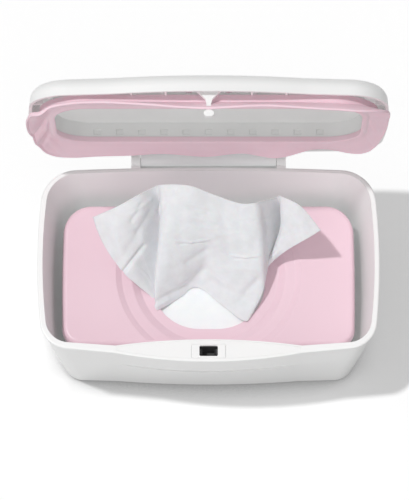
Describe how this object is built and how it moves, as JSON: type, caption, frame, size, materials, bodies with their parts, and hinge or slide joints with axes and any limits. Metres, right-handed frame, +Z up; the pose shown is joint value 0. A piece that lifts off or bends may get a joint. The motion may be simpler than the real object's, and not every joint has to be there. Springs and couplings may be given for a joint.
{
  "type": "wipes dispenser",
  "caption": "Tapered white tub of wipes with a hinged, gasketed window lid, a touch latch in the front ledge and a weighted pink plate with an opening that one wipe stands out of",
  "frame": {"origin": "centre of the underside of the feet and of the whole row's bounding box with the lid open", "axes": "+X along the long side to the right, +Y to the hinge at the rear, +Z up"},
  "size_m": [0.239, 0.1604, 0.2371],
  "materials": {
    "white_shell": "semi-gloss moulded",
    "foot_rubber": "matte",
    "latch_black": "matte moulded",
    "screw_steel": "plain",
    "spring_steel": "drawn wire",
    "wipe_cloth": "damp non-woven",
    "plate_pink": "satin moulded",
    "window_clear": "translucent moulded",
    "gasket_pink": "satin silicone",
    "arm_grey": "matte moulded"
  },
  "bodies": {
    "tub": {"tub_shell": "white_shell", "non_slip_feet": "foot_rubber", "ledge_cap": "white_shell", "latch_bezel": "white_shell", "latch_housing": "latch_black", "latch_screws": "screw_steel", "latch_spring": "spring_steel", "hinge_pins": "screw_steel"},
    "stack": {"wipe_stack": "wipe_cloth"},
    "plate": {"plate_top": "plate_pink", "plate_weights": "screw_steel", "plate_base": "plate_pink", "plate_screws": "screw_steel", "pulled_wipe": "wipe_cloth"},
    "lid": {"lid_shell": "white_shell", "lid_window": "window_clear", "window_frame": "white_shell", "lid_gasket": "gasket_pink", "lid_arm": "arm_grey", "arm_screws": "screw_steel", "striker": "white_shell", "striker_screws": "screw_steel"},
    "latch": {"latch_carriage": "latch_black", "jaw_pins": "screw_steel"},
    "left_jaw": {"jaw_left": "latch_black"},
    "right_jaw": {"jaw_right": "latch_black"},
    "follower": {"cam_follower": "latch_black"}
  },
  "joints": [
    {"name": "lid_hinge", "type": "hinge", "parent": "tub", "child": "lid", "pos_m": [0, 0.06371, 0.0925], "axis": [1, 0, 0], "range_deg": [0, 88], "deforming": ["lid_gasket", "pulled_wipe"]},
    {"name": "stack_lift", "type": "slide", "parent": "tub", "child": "stack", "axis": [0, 0, -1], "range_m": [-0.06, 0]},
    {"name": "plate_lift", "type": "slide", "parent": "stack", "child": "plate", "axis": [0, 0, -1], "range_m": [-0.07, 0]},
    {"name": "latch_slide", "type": "slide", "parent": "tub", "child": "latch", "axis": [0, 0, -1], "range_m": [0, 0.004], "stiffness_N_per_m": 150, "springref_m": -0.004, "deforming": ["latch_spring"]},
    {"name": "left_jaw_turn", "type": "hinge", "parent": "latch", "child": "left_jaw", "pos_m": [-0.0064, -0.07259, 0.0785], "axis": [0, 1, 0], "range_deg": [0, 9]},
    {"name": "right_jaw_turn", "type": "hinge", "parent": "latch", "child": "right_jaw", "pos_m": [0.0064, -0.07259, 0.0785], "axis": [0, -1, 0], "range_deg": [0, 9]},
    {"name": "follower_swing", "type": "hinge", "parent": "tub", "child": "follower", "pos_m": [0.0099, -0.07259, 0.0695], "axis": [1, 0, 0], "range_deg": [-5, 5]}
  ],
  "couplings": [
    {"joint": "left_jaw_turn", "follows": "latch_slide", "rad_per_m": 39.27},
    {"joint": "right_jaw_turn", "follows": "latch_slide", "rad_per_m": 39.27}
  ]
}
